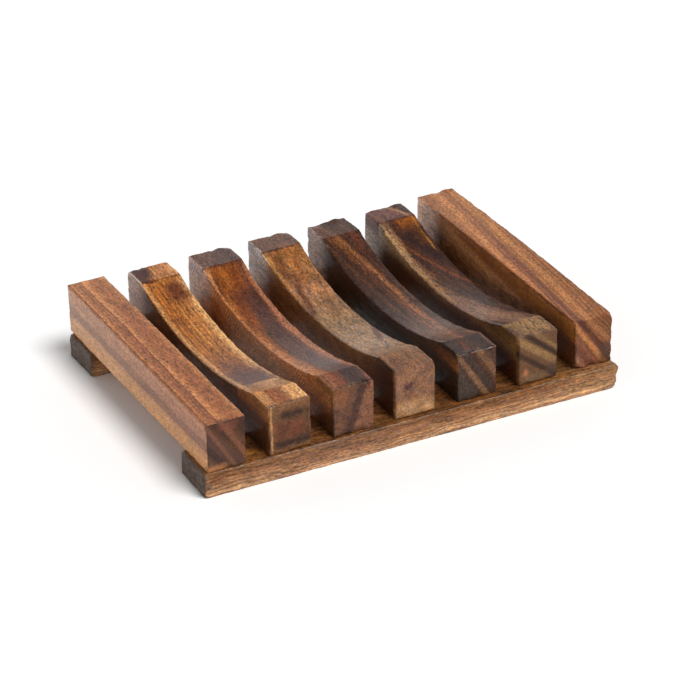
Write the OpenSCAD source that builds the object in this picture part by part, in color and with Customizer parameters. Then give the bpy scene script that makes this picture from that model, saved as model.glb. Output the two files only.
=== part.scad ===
// Slatted soap dish
// Square hardwood slats lie crosswise on two flat rails and are nailed to them from below.
// The slat at each end is a plain bar. A shallow scoop crosses the slats between them, and
// the soap lies in it while the water runs off through the gaps.
// X runs along the rails, Y from the front of the dish to its back, and Z points up.
// The origin is on the surface that the dish stands on, under the middle of its outline.

/* [Rails] */
// Length of each rail, which is the length of the dish
rail_length = 120; // [100:1:160]
// Width of each rail, measured front to back
rail_width = 14.4; // [10:0.2:20]
// Height of each rail, from the table to the undersides of the slats
rail_height = 7; // [5:0.5:12]
// Angle in degrees by which the front rail lies askew, its right end forward
front_rail_skew = 1.2; // [0:0.1:2]
// How far the front rail's left end stands out in front of the slats
front_rail_lead = 0.4; // [0:0.1:2]

/* [Slats] */
// Length of every slat, measured front to back
slat_length = 85; // [70:1:110]
// Height of every slat
slat_height = 14; // [11:0.5:20]
// Width of the plain slat at each end of the dish
end_slat_width = 11; // [9:0.1:14]
// Width of each scooped slat
scooped_slat_width = 11.7; // [9:0.1:13]
// Number of scooped slats
scooped_slat_count = 5; // [3:1:6]
// Bare end of the rails outside each end slat
rail_overhang = 0.5; // [0:0.1:2]
// Gap before the right end slat, as a share of the gap between the other slats
last_gap_share = 0.85; // [0.7:0.05:1]

/* [Scoop] */
// Depth of the scoop below the tops of the slats
scoop_depth = 6; // [2:0.5:8]
// Flat land between the scoop and a slat's front end
front_land = 9; // [6:0.5:14]
// Flat land between the scoop and a slat's back end
back_land = 8.2; // [6:0.2:14]

/* [Nails] */
// Diameter of a nail's shank
nail_d = 1.2; // [1:0.1:1.8]
// Length of a nail under its head
nail_length = 15; // [10:0.5:16]
// Length of a nail's point
nail_point = 1.5; // [1:0.1:3]
// Diameter of a nail's head
nail_head_d = 2.6; // [2.2:0.1:4]
// Thickness of a nail's head
nail_head_thickness = 0.5; // [0.3:0.1:1]
// How deep the heads are set into the undersides of the rails
nail_set = 0.3; // [0:0.1:1]
// Clearance round a nail in its hole
nail_clearance = 0.05; // [0.02:0.01:0.2]

/* [Hidden] */
$fn = 32;
// Facets drawn round the wide circle of the scoop
scoop_facets = 360;
// How far every cut runs past the face that it opens
overrun = 1;

// The skewed front rail reaches furthest forward, and the slats' back ends furthest back
dish_depth = slat_length + front_rail_lead + rail_length * sin(front_rail_skew);
back_y = dish_depth / 2;
slat_front_y = back_y - slat_length;
back_rail_y = back_y - rail_width;
dish_height = rail_height + slat_height;

// Left front corner of the front rail, from which it is turned askew
front_rail_x = -(rail_length * cos(front_rail_skew) + rail_width * sin(front_rail_skew)) / 2;
front_rail_y = slat_front_y - front_rail_lead;

// Places of the slats along the rails
row_left = -rail_length / 2 + rail_overhang;
row_right = rail_length / 2 - rail_overhang;
open_length = row_right - row_left - 2 * end_slat_width - scooped_slat_count * scooped_slat_width;
slat_gap = open_length / (scooped_slat_count + last_gap_share);
function scooped_slat_x(number) =
    row_left + end_slat_width + slat_gap + (number - 1) * (scooped_slat_width + slat_gap);

// Centres of all the slats, from left to right, where the nails go in
slat_centres = concat(
    [row_left + end_slat_width / 2],
    [for (number = [1 : scooped_slat_count]) scooped_slat_x(number) + scooped_slat_width / 2],
    [row_right - end_slat_width / 2]
);

// A nail stands on the middle line of its rail
back_nail_y = back_rail_y + rail_width / 2;
function front_nail_y(x) =
    front_rail_y + rail_width / 2 * cos(front_rail_skew)
    - (x - front_rail_x - rail_width / 2 * sin(front_rail_skew)) * tan(front_rail_skew);

// The scoop is part of a circle whose chord joins the two lands
scoop_length = slat_length - front_land - back_land;
scoop_r = (pow(scoop_length / 2, 2) + pow(scoop_depth, 2)) / (2 * scoop_depth);
scoop_middle_y = slat_front_y + front_land + scoop_length / 2;
scoop_centre_z = dish_height - scoop_depth + scoop_r;

// Colours of the stained wood, which differs from board to board
end_slat_colour = "sienna";
scooped_slat_colours = ["peru", "chocolate", "sandybrown", "saddlebrown", "burlywood"];
rail_colour = "darkgoldenrod";

// One nail, drawn point up with its head on the plane z = 0
module nail() {
    rotate_extrude()
        polygon([
            [0, 0],
            [nail_head_d / 2, 0],
            [nail_head_d / 2, nail_head_thickness],
            [nail_d / 2, nail_head_thickness],
            [nail_d / 2, nail_head_thickness + nail_length - nail_point],
            [0, nail_head_thickness + nail_length]
        ]);
}

// The hole for one nail: a recess for the head and a bore for the shank and point
module nail_hole() {
    translate([0, 0, -nail_set - overrun])
        cylinder(
            d = nail_head_d + 2 * nail_clearance,
            h = nail_set + overrun + nail_head_thickness + nail_clearance
        );
    cylinder(
        d = nail_d + 2 * nail_clearance,
        h = nail_head_thickness + nail_length + nail_clearance
    );
}

// Holes for the two nails that hold the slat whose centre is at x
module slat_nail_holes(x) {
    translate([x, front_nail_y(x), nail_set]) nail_hole();
    translate([x, back_nail_y, nail_set]) nail_hole();
}

// A plain square bar, from its left face
module slat_bar(x, width) {
    translate([x, slat_front_y, rail_height]) cube([width, slat_length, slat_height]);
}

// Plain slat at the left end of the dish
module left_end_slat() {
    color(end_slat_colour)
        difference() {
            slat_bar(row_left, end_slat_width);
            slat_nail_holes(slat_centres[0]);
        }
}

// One scooped slat, counted from the left
module scooped_slat(number) {
    x = scooped_slat_x(number);
    color(scooped_slat_colours[(number - 1) % len(scooped_slat_colours)])
        difference() {
            slat_bar(x, scooped_slat_width);
            translate([x - overrun, scoop_middle_y, scoop_centre_z])
                rotate([0, 90, 0])
                    cylinder(r = scoop_r, h = scooped_slat_width + 2 * overrun, $fn = scoop_facets);
            slat_nail_holes(slat_centres[number]);
        }
}

// Plain slat at the right end of the dish
module right_end_slat() {
    color(end_slat_colour)
        difference() {
            slat_bar(row_right - end_slat_width, end_slat_width);
            slat_nail_holes(slat_centres[len(slat_centres) - 1]);
        }
}

// Rail under the slats' front ends, turned slightly askew about its left front corner
module front_rail() {
    color(rail_colour)
        difference() {
            translate([front_rail_x, front_rail_y, 0])
                rotate(-front_rail_skew)
                    cube([rail_length, rail_width, rail_height]);
            for (x = slat_centres)
                translate([x, front_nail_y(x), nail_set]) nail_hole();
        }
}

// Rail under the slats' back ends, flush with them
module back_rail() {
    color(rail_colour)
        difference() {
            translate([-rail_length / 2, back_rail_y, 0])
                cube([rail_length, rail_width, rail_height]);
            for (x = slat_centres)
                translate([x, back_nail_y, nail_set]) nail_hole();
        }
}

// The nails of the front rail, one in each slat
module front_rail_nails() {
    color("silver")
        for (x = slat_centres)
            translate([x, front_nail_y(x), nail_set]) nail();
}

// The nails of the back rail, one in each slat
module back_rail_nails() {
    color("silver")
        for (x = slat_centres)
            translate([x, back_nail_y, nail_set]) nail();
}

left_end_slat();
for (number = [1 : scooped_slat_count])
    scooped_slat(number);
right_end_slat();
front_rail();
back_rail();
front_rail_nails();
back_rail_nails();
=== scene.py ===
"""Looks of a slatted wooden soap dish: seven stained hardwood slats nailed across two rails."""
import math

import bmesh
import bpy
from mathutils import Matrix, Vector, noise


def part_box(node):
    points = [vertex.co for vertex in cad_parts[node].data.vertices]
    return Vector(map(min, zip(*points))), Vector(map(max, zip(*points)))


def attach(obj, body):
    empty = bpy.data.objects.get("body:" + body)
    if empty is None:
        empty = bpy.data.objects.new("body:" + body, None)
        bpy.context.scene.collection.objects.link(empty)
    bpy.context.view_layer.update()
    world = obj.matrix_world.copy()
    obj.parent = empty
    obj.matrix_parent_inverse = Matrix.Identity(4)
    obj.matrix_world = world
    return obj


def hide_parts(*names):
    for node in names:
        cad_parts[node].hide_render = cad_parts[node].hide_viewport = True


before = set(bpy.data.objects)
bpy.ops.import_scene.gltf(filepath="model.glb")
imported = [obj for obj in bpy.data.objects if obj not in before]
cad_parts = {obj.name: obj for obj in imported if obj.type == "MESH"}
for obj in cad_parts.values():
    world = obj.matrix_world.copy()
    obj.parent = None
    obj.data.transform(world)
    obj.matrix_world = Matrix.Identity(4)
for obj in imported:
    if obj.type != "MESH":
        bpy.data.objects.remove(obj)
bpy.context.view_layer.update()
MM = 0.001

# Camera: a long lens looks down on the dish from its front left corner, as in the photograph.
# It aims at a point inside the dish, and leans over by less than a degree.
CAMERA_AIM = Vector((-1.1, -7.7, 10.5)) * MM
CAMERA_DISTANCE = 851.1 * MM
CAMERA_AZIMUTH = math.radians(27.58)
CAMERA_ELEVATION = math.radians(29.12)
CAMERA_ROLL = math.radians(0.9)
CAMERA_LENS = 164.22
SENSOR_WIDTH = 36.0
CAMERA_SIGHT = 100.0

forward = Vector((
    math.sin(CAMERA_AZIMUTH) * math.cos(CAMERA_ELEVATION),
    math.cos(CAMERA_AZIMUTH) * math.cos(CAMERA_ELEVATION),
    -math.sin(CAMERA_ELEVATION),
))
camera_data = bpy.data.cameras.new("camera")
camera_data.lens = CAMERA_LENS
camera_data.sensor_width = SENSOR_WIDTH
camera_data.clip_end = CAMERA_SIGHT
camera = bpy.data.objects.new("camera", camera_data)
bpy.context.scene.collection.objects.link(camera)
turn = forward.to_track_quat("-Z", "Y").to_matrix() @ Matrix.Rotation(-CAMERA_ROLL, 3, "Z")
camera.matrix_world = Matrix.Translation(CAMERA_AIM - forward * CAMERA_DISTANCE) @ turn.to_4x4()
bpy.context.scene.camera = camera
bpy.context.scene.view_settings.view_transform = "Standard"

# Studio: a wide white table stands among pale walls, under a dim ceiling. One soft lamp is high on
# the right of the camera. The table looks white but keeps the shadow of the dish.
TABLE_HALF_WIDTH = 6.0
TABLE_COLOUR = (0.86, 0.86, 0.86, 1.0)
TABLE_SEEN_COLOUR = (1.09, 1.09, 1.09, 1.0)
LAMP_AZIMUTH = math.radians(-60.0)
LAMP_ELEVATION = math.radians(64.0)
LAMP_SPREAD = math.radians(26.0)
LAMP_STRENGTH = 0.70
# How bright the walls and ceiling are, against the sine of the height at which they are seen
WALL_LIGHT = ((0.0, 1.0), (0.17, 0.97), (0.34, 0.80), (0.48, 0.56), (0.64, 0.32), (0.77, 0.14), (1.0, 0.10))


def set_node(tree, kind, inputs=None, **settings):
    """Add one shader node. Each input is given a value, or a link where a socket is passed."""
    made = tree.nodes.new("ShaderNode" + kind)
    for name, value in settings.items():
        setattr(made, name, value)
    for key, value in (inputs or {}).items():
        if isinstance(value, bpy.types.NodeSocket):
            tree.links.new(value, made.inputs[key])
        else:
            made.inputs[key].default_value = value
    return made


def new_material(name):
    """Start a material that holds nothing but its output node."""
    material = bpy.data.materials.new(name)
    material.use_nodes = True
    material.node_tree.nodes.clear()
    return material, material.node_tree


def set_stops(ramp_node, stops):
    """Give a colour ramp exactly these stops, each a place from 0 to 1 and a linear colour."""
    elements = ramp_node.color_ramp.elements
    while len(elements) > 1:
        elements.remove(elements[-1])
    elements[0].position, elements[0].color = stops[0]
    for place, colour in stops[1:]:
        elements.new(place).color = colour


def place_object(name, bm, material):
    """Turn a finished bmesh into an object at the origin."""
    mesh = bpy.data.meshes.new(name)
    bm.to_mesh(mesh)
    bm.free()
    mesh.materials.append(material)
    made = bpy.data.objects.new(name, mesh)
    bpy.context.scene.collection.objects.link(made)
    return made


table_material, tree = new_material("white_table")
view_ray = set_node(tree, "LightPath").outputs["Is Camera Ray"]
table_colour = set_node(
    tree, "Mix", {0: view_ray, 6: TABLE_COLOUR, 7: TABLE_SEEN_COLOUR}, data_type="RGBA"
).outputs[2]
table_shader = set_node(tree, "BsdfDiffuse", {"Color": table_colour})
set_node(tree, "OutputMaterial", {"Surface": table_shader.outputs[0]})

bm = bmesh.new()
bmesh.ops.create_grid(bm, x_segments=1, y_segments=1, size=TABLE_HALF_WIDTH)
table = place_object("white_table", bm, table_material)

world = bpy.data.worlds.new("studio")
world.use_nodes = True
bpy.context.scene.world = world
tree = world.node_tree
tree.nodes.clear()
direction = set_node(tree, "TexCoord").outputs["Generated"]
height = set_node(tree, "SeparateXYZ", {0: direction}).outputs["Z"]
wall_ramp = set_node(tree, "ValToRGB", {0: height})
set_stops(wall_ramp, [(place, (light, light, light, 1.0)) for place, light in WALL_LIGHT])
view_ray = set_node(tree, "LightPath").outputs["Is Camera Ray"]
walls = set_node(
    tree, "Mix", {0: view_ray, 6: wall_ramp.outputs[0], 7: (1.0, 1.0, 1.0, 1.0)}, data_type="RGBA"
).outputs[2]
background = set_node(tree, "Background", {"Color": walls})
set_node(tree, "OutputWorld", {"Surface": background.outputs[0]})

lamp_data = bpy.data.lights.new("soft_lamp", "SUN")
lamp_data.angle = LAMP_SPREAD
lamp_data.energy = LAMP_STRENGTH * math.pi
lamp = bpy.data.objects.new("soft_lamp", lamp_data)
bpy.context.scene.collection.objects.link(lamp)
lamp_place = Vector((math.cos(LAMP_AZIMUTH), math.sin(LAMP_AZIMUTH), math.tan(LAMP_ELEVATION))).normalized()
lamp_turn = (-lamp_place).to_track_quat("-Z", "Y").to_matrix().to_4x4()
lamp.matrix_world = Matrix.Translation(lamp_place) @ lamp_turn

# Rails: two flat hardwood strips lie across under the ends of the slats. They are sawn, drilled
# from below for the nails, and stained golden brown. The front rail was nailed on a little askew.
# A board is made in millimetres in its own frame: X goes across it, Y along its grain, Z up.
GRID_STEP = 0.5
EDGE_RADIUS = 0.28
SQUARE_ANGLE = 0.8
EDGE_REACH = 1.6
# How far each kind of wear moves a point, and how many waves it has in each millimetre
FACE_WARP = 0.08
FACE_WAVES = 0.06
FIBRE_WARP = 0.03
FIBRE_WAVES = (0.8, 0.15, 0.8)
EDGE_WAVE = 0.14
EDGE_WAVES = 0.35
EDGE_CRUMBLE = 0.08
CRUMBLE_WAVES = 1.3
# How squarely a point or face must look one way to count as an end, a side or the underside
FACING = 0.7
RIB_WAVE = (0.0, 5.0, 3.2)
GLOSS = 0.2
VARNISH_ROUGHNESS = 0.17
BUMP_HEIGHT = 0.15 * MM
ACROSS = Vector((1.0, 0.0, 0.0))
ALONG = Vector((0.0, 1.0, 0.0))


def board_frame(corner, turn=0.0):
    """The matrix from a board's own frame, in millimetres, to the dish, in metres."""
    return Matrix.Translation(corner) @ Matrix.Rotation(turn, 4, "Z") @ Matrix.Scale(MM, 4)


def square_block(size):
    """A plain square bar with its lowest corner at the origin of its own frame."""
    bm = bmesh.new()
    shape = Matrix.Translation(size / 2) @ Matrix.Diagonal(size).to_4x4()
    bmesh.ops.create_cube(bm, size=1.0, matrix=shape)
    return bm


def round_edges(bm):
    """Round every square edge of a block, and leave its gentle ridges crisp."""
    square = [edge for edge in bm.edges if edge.calc_face_angle() > SQUARE_ANGLE]
    bmesh.ops.bevel(
        bm, geom=square, offset=EDGE_RADIUS, offset_type="OFFSET", segments=3,
        profile=0.5, affect="EDGES", material=-1, clamp_overlap=True,
    )


def cut_finely(bm):
    """Cut a block of plain quads into a fine grid, so that its faces and edges can be worn."""
    for axis in range(3):
        alike = {}
        for edge in bm.edges:
            run = edge.verts[1].co - edge.verts[0].co
            length = abs(run[axis])
            if length > SQUARE_ANGLE * run.length and length > 1.5 * GRID_STEP:
                pieces = round(length / GRID_STEP)
                alike.setdefault(pieces, []).append(edge)
        for pieces, edges in alike.items():
            bmesh.ops.subdivide_edges(bm, edges=edges, cuts=pieces - 1, use_grid_fill=True)


def wear(bm, size, seed, top=None, trim=(0.0, 0.0, 0.0, 0.0), knocks=()):
    """Warp the faces of a finely cut board, wave and crumble its edges, and push in each knock.

    A trim is how far the saw strayed in X on the left and right sides, and in Y at the front and back
    ends. It also writes how near an edge each point is, and whether it is end grain or on a sawn
    side, for the material.
    """
    edge_wear = bm.verts.layers.float.new("edge_wear")
    end_grain = bm.verts.layers.float.new("end_grain")
    sawn_side = bm.verts.layers.float.new("sawn_side")
    bm.normal_update()
    left, right, front, back = trim
    shift = Vector((17.3, 5.1, 9.7)) * seed
    # Without a seed of its own, the vector noise would differ each time the script runs
    noise.seed_set(seed)
    moves = []
    for vert in bm.verts:
        point = vert.co
        height = top(point.y) if top else size.z
        inset = sorted((
            abs(min(point.x, size.x - point.x)),
            abs(min(point.y, size.y - point.y)),
            abs(min(point.z, height - point.z)),
        ))
        near_edge = max(0.0, 1.0 - inset[1] / EDGE_REACH)
        vert[edge_wear] = near_edge
        vert[end_grain] = 1.0 if abs(vert.normal.y) > FACING else 0.0
        vert[sawn_side] = 1.0 if abs(vert.normal.x) > FACING else 0.0
        place = point + shift
        fibre = Vector([part * waves for part, waves in zip(place, FIBRE_WAVES)])
        move = noise.noise_vector(place * FACE_WAVES) * FACE_WARP
        move += vert.normal * noise.noise(fibre) * FIBRE_WARP
        move += noise.noise_vector(place * EDGE_WAVES) * EDGE_WAVE * near_edge
        move += noise.noise_vector(place * CRUMBLE_WAVES) * EDGE_CRUMBLE * near_edge
        move.x += left + (right - left) * point.x / size.x
        move.y += front + (back - front) * point.y / size.y
        for centre, reach, push in knocks:
            away = (point - Vector(centre)).length / reach
            if away < 1.0:
                move += Vector(push) * (1.0 - away * away) ** 2
        move.z = max(move.z, -point.z)
        moves.append(move)
    for vert, move in zip(bm.verts, moves):
        vert.co += move


def lay_board(node, bm, place, material):
    """Move a worn board from its own frame to its place on the dish, where it replaces its node."""
    bmesh.ops.transform(bm, matrix=place, verts=bm.verts)
    for face in bm.faces:
        face.smooth = True
    board = place_object(node + "_wood", bm, material)
    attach(board, "root")
    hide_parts(node)


def paint(code):
    """The linear colour of a paint code written as RRGGBB."""
    channels = [int(code[start:start + 2], 16) / 255 for start in (0, 2, 4)]
    linear = [c / 12.92 if c <= 0.04045 else ((c + 0.055) / 1.055) ** 2.4 for c in channels]
    return (*linear, 1.0)


def new_group(name, inputs, outputs):
    """Start a node group. Inputs are named with their first values, and outputs with their kinds."""
    tree = bpy.data.node_groups.new(name, "ShaderNodeTree")
    for label, value in inputs.items():
        kind = "Float" if isinstance(value, float) else "Vector" if len(value) == 3 else "Color"
        socket = tree.interface.new_socket(label, in_out="INPUT", socket_type="NodeSocket" + kind)
        socket.default_value = value
    for label, kind in outputs.items():
        tree.interface.new_socket(label, in_out="OUTPUT", socket_type="NodeSocket" + kind)
    return tree, tree.nodes.new("NodeGroupInput").outputs


def end_group(tree, results):
    """Link the results of a node group to its named outputs, and give the finished group."""
    out = tree.nodes.new("NodeGroupOutput")
    for label, socket in results.items():
        tree.links.new(socket, out.inputs[label])
    return tree


def maths(tree, operation, *values):
    """One Math node. Values are numbers or sockets."""
    return set_node(tree, "Math", dict(enumerate(values)), operation=operation).outputs[0]


def vector_maths(tree, operation, *values):
    """One Vector Math node that gives a vector. Values are triples or sockets."""
    return set_node(tree, "VectorMath", dict(enumerate(values)), operation=operation).outputs[0]


def dot(tree, one, other):
    """How far one vector reaches along the other."""
    return set_node(tree, "VectorMath", {0: one, 1: other}, operation="DOT_PRODUCT").outputs["Value"]


def mix_colours(tree, share, one, other, blend="MIX"):
    """One colour turned into the other by a share."""
    return set_node(
        tree, "Mix", {0: share, 6: one, 7: other}, data_type="RGBA", blend_type=blend
    ).outputs[2]


# Every pattern of a board comes from the same noises, slow and quick, long and short. Each is around
# zero, mostly from -1 to 1, and is stretched by its number of waves in a millimetre on each axis.
NOISES = (
    ("Slow", (0.10, 0.028, 0.10), 2.0),
    ("Quick", (0.45, 0.10, 0.45), 2.0),
    ("Ripple", (0.80, 0.30, 0.80), 3.0),
    ("Fibre", (1.10, 0.12, 1.10), 3.0),
    ("Hair", (2.40, 0.38, 2.40), 2.0),
    ("Speck", (2.60, 0.95, 2.60), 3.0),
    ("Mottle", (0.45, 0.16, 0.45), 3.0),
    ("Tint", (1.20, 0.45, 1.20), 2.0),
)
tree, given = new_group(
    "wood_noises", {"Place": (0.0, 0.0, 0.0), "Seed": 0.0}, {label: "Float" for label, *_ in NOISES}
)
offset = vector_maths(tree, "SCALE", (31.7, 17.9, 11.3))
tree.links.new(given["Seed"], offset.node.inputs["Scale"])
made_noises = {}
for label, stretch, detail in NOISES:
    waves = vector_maths(tree, "MULTIPLY_ADD", given["Place"], stretch, offset)
    noisy = set_node(tree, "TexNoise", {"Vector": waves, "Scale": 1.0, "Detail": detail}).outputs[0]
    made_noises[label] = maths(tree, "MULTIPLY_ADD", noisy, 4.0, -2.0)
noise_group = end_group(tree, made_noises)

# Growth layers: sawn boards show the tree's layers as stripes that run on from face to face. A point's
# layer is measured square to them in millimetres. They sway a little, and may sweep off at its ends.
tree, given = new_group(
    "growth_layers",
    {
        "Place": (0.0, 0.0, 0.0), "Slow": 0.0, "Quick": 0.0, "Tilt": (1.0, 0.0, 0.0),
        "Length": 85.0, "Sweep": 0.0, "Wobble": 0.3,
    },
    {"Layer": "Float"},
)
along = set_node(tree, "SeparateXYZ", {0: given["Place"]}).outputs["Y"]
share = maths(tree, "DIVIDE", along, given["Length"])
share = maths(tree, "MULTIPLY_ADD", share, 2.0, -1.0)
squared = maths(tree, "MULTIPLY", share, share)
fifth = maths(tree, "MULTIPLY", maths(tree, "MULTIPLY", squared, squared), share)
layer = dot(tree, given["Place"], given["Tilt"])
layer = maths(tree, "MULTIPLY_ADD", fifth, given["Sweep"], layer)
sway = maths(tree, "MULTIPLY_ADD", given["Quick"], 0.4, given["Slow"])
layer = maths(tree, "MULTIPLY_ADD", sway, given["Wobble"], layer)
layers_group = end_group(tree, {"Layer": layer})

# A mark, such as a streak, a knot, a stain, a painted glint, painted sheen or painted shade, is a soft
# ragged box in the board, which may lean.
tree, given = new_group(
    "wood_mark",
    {
        "Colour": (0.3, 0.12, 0.05, 1.0), "Place": (0.0, 0.0, 0.0), "Ripple": 0.0,
        "Mark Colour": (0.1, 0.05, 0.02, 1.0), "Centre": (0.0, 0.0, 0.0), "Reach": (1.0, 1.0, 1.0),
        "Blur": (0.5, 0.5, 0.5), "Lean": (1.0, 0.0, 0.0), "Strength": 1.0, "Ragged": 0.3,
    },
    {"Colour": "Color"},
)
away = vector_maths(tree, "SUBTRACT", given["Place"], given["Centre"])
parts = set_node(tree, "SeparateXYZ", {0: away}).outputs
sideways = dot(tree, away, given["Lean"])
away = set_node(tree, "CombineXYZ", {0: sideways, 1: parts["Y"], 2: parts["Z"]}).outputs[0]
ripples = maths(tree, "MULTIPLY", given["Ripple"], given["Ragged"])
away = vector_maths(tree, "ADD", vector_maths(tree, "ABSOLUTE", away), ripples)
inner = vector_maths(tree, "SUBTRACT", given["Reach"], given["Blur"])
outer = vector_maths(tree, "ADD", given["Reach"], given["Blur"])
outside = set_node(
    tree, "MapRange", {"Vector": away, 7: inner, 8: outer},
    data_type="FLOAT_VECTOR", interpolation_type="SMOOTHSTEP",
).outputs["Vector"]
inside = vector_maths(tree, "SUBTRACT", (1, 1, 1), outside)
inside = set_node(tree, "SeparateXYZ", {0: inside}).outputs
mask = maths(tree, "MULTIPLY", inside["X"], inside["Y"])
mask = maths(tree, "MULTIPLY", maths(tree, "MULTIPLY", mask, inside["Z"]), given["Strength"])
mark_group = end_group(tree, {"Colour": mix_colours(tree, mask, given["Colour"], given["Mark Colour"])})

# Grain: long fibres, specks, open pores and mottling over the layers, and the fine ribs that the saw
# left across the sides. Stain gathers along the edges. The varnish is thin on end grain and in pores.
tree, given = new_group(
    "stained_grain",
    {
        "Colour": (0.3, 0.12, 0.05, 1.0), "Place": (0.0, 0.0, 0.0), "Fibre": 0.0, "Hair": 0.0,
        "Speck": 0.0, "Mottle": 0.0, "Tint": 0.0, "End Grain": 0.0, "Side": 0.0, "Edge": 0.0,
        "Grain": 0.2, "Specks": 0.2, "Pores": 0.5, "Cloud": 0.1, "Hue": 0.1, "Ribs": 0.0,
        "Stain": (1.0, 1.0, 1.0), "Edge Tint": (0.6, 0.5, 0.4), "Varnish": 0.7,
    },
    {"Colour": "Color", "Roughness": "Float", "Varnish": "Float", "Height": "Float"},
)
pore = set_node(
    tree, "MapRange",
    {"Value": maths(tree, "ADD", given["Hair"], given["Fibre"]), "From Min": 0.75, "From Max": 1.3},
    interpolation_type="SMOOTHSTEP",
).outputs[0]
porous = maths(tree, "MULTIPLY", pore, given["Pores"])
porous = maths(tree, "MULTIPLY", porous, maths(tree, "MULTIPLY_ADD", given["End Grain"], -0.6, 1.0))
streaks = maths(tree, "ADD", given["Hair"], given["Fibre"])
streaks = maths(tree, "MULTIPLY", streaks, given["Grain"])
streaks = maths(tree, "MULTIPLY_ADD", given["Speck"], given["Specks"], streaks)
tone = maths(tree, "MULTIPLY_ADD", given["End Grain"], -0.35, 1.0)
tone = maths(tree, "MULTIPLY_ADD", given["Side"], -0.3, tone)
tone = maths(tree, "MULTIPLY_ADD", streaks, tone, 1.0)
rib = maths(tree, "ADD", dot(tree, given["Place"], RIB_WAVE), given["Mottle"])
rib = maths(tree, "MULTIPLY", maths(tree, "SINE", rib), given["Ribs"])
rib = maths(tree, "MULTIPLY", rib, maths(tree, "MAXIMUM", given["Mottle"], 0.0))
rib = maths(tree, "MULTIPLY", rib, given["Side"])
tone = maths(tree, "ADD", tone, rib)
cloudy = maths(tree, "MULTIPLY_ADD", given["Mottle"], given["Cloud"], 1.0)
tone = maths(tree, "MULTIPLY", tone, cloudy)
tone = maths(tree, "MULTIPLY", tone, maths(tree, "MULTIPLY_ADD", porous, -0.6, 1.0))
tone = maths(tree, "MAXIMUM", tone, 0.05)
warm = maths(tree, "MULTIPLY", given["Tint"], given["Hue"])
tones = set_node(tree, "CombineXYZ", {
    0: maths(tree, "MULTIPLY_ADD", warm, 0.5, 1.0), 1: 1.0,
    2: maths(tree, "MULTIPLY_ADD", warm, -1.2, 1.0),
}).outputs[0]
tones = vector_maths(tree, "MULTIPLY", tones, given["Stain"])
colour = vector_maths(tree, "SCALE", vector_maths(tree, "MULTIPLY", given["Colour"], tones))
tree.links.new(tone, colour.node.inputs["Scale"])
line = maths(tree, "POWER", given["Edge"], 5.0)
line = maths(tree, "MULTIPLY", line, maths(tree, "MULTIPLY_ADD", given["Fibre"], 0.4, 0.8))
edged = vector_maths(tree, "MULTIPLY", colour, given["Edge Tint"])
colour = mix_colours(tree, line, colour, edged)
rough = maths(tree, "MULTIPLY_ADD", given["Hair"], 0.06, 0.5)
rough = maths(tree, "MULTIPLY_ADD", porous, 0.25, rough)
rough = maths(tree, "MULTIPLY_ADD", given["End Grain"], 0.1, rough)
dull = maths(tree, "MULTIPLY_ADD", given["End Grain"], -0.4, 1.0)
dull = maths(tree, "MULTIPLY_ADD", given["Side"], -0.5, dull)
dull = maths(tree, "MULTIPLY_ADD", given["Speck"], 0.5, dull)
dull = maths(tree, "MULTIPLY_ADD", porous, -0.6, dull)
varnish = maths(tree, "MULTIPLY", dull, given["Varnish"])
height = maths(tree, "MULTIPLY_ADD", given["Hair"], 0.1, maths(tree, "MULTIPLY", given["Speck"], 0.15))
height = maths(tree, "MULTIPLY_ADD", porous, -0.5, height)
height = maths(tree, "MULTIPLY_ADD", rib, 1.5, height)
grain_group = end_group(tree, {"Colour": colour, "Roughness": rough, "Varnish": varnish, "Height": height})


def mark(colour, centre, reach, blur, lean=0.0, slant=0.0, strength=1.0, ragged=0.3):
    """The values of one mark, by the names of its node group. Lengths are in millimetres.

    It moves towards the left side of the board by its lean for each millimetre along the board, and
    by its slant for each millimetre up.
    """
    return {
        "Mark Colour": paint(colour), "Centre": centre, "Reach": reach, "Blur": blur,
        "Lean": (1.0, lean, slant), "Strength": strength, "Ragged": ragged,
    }


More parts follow.
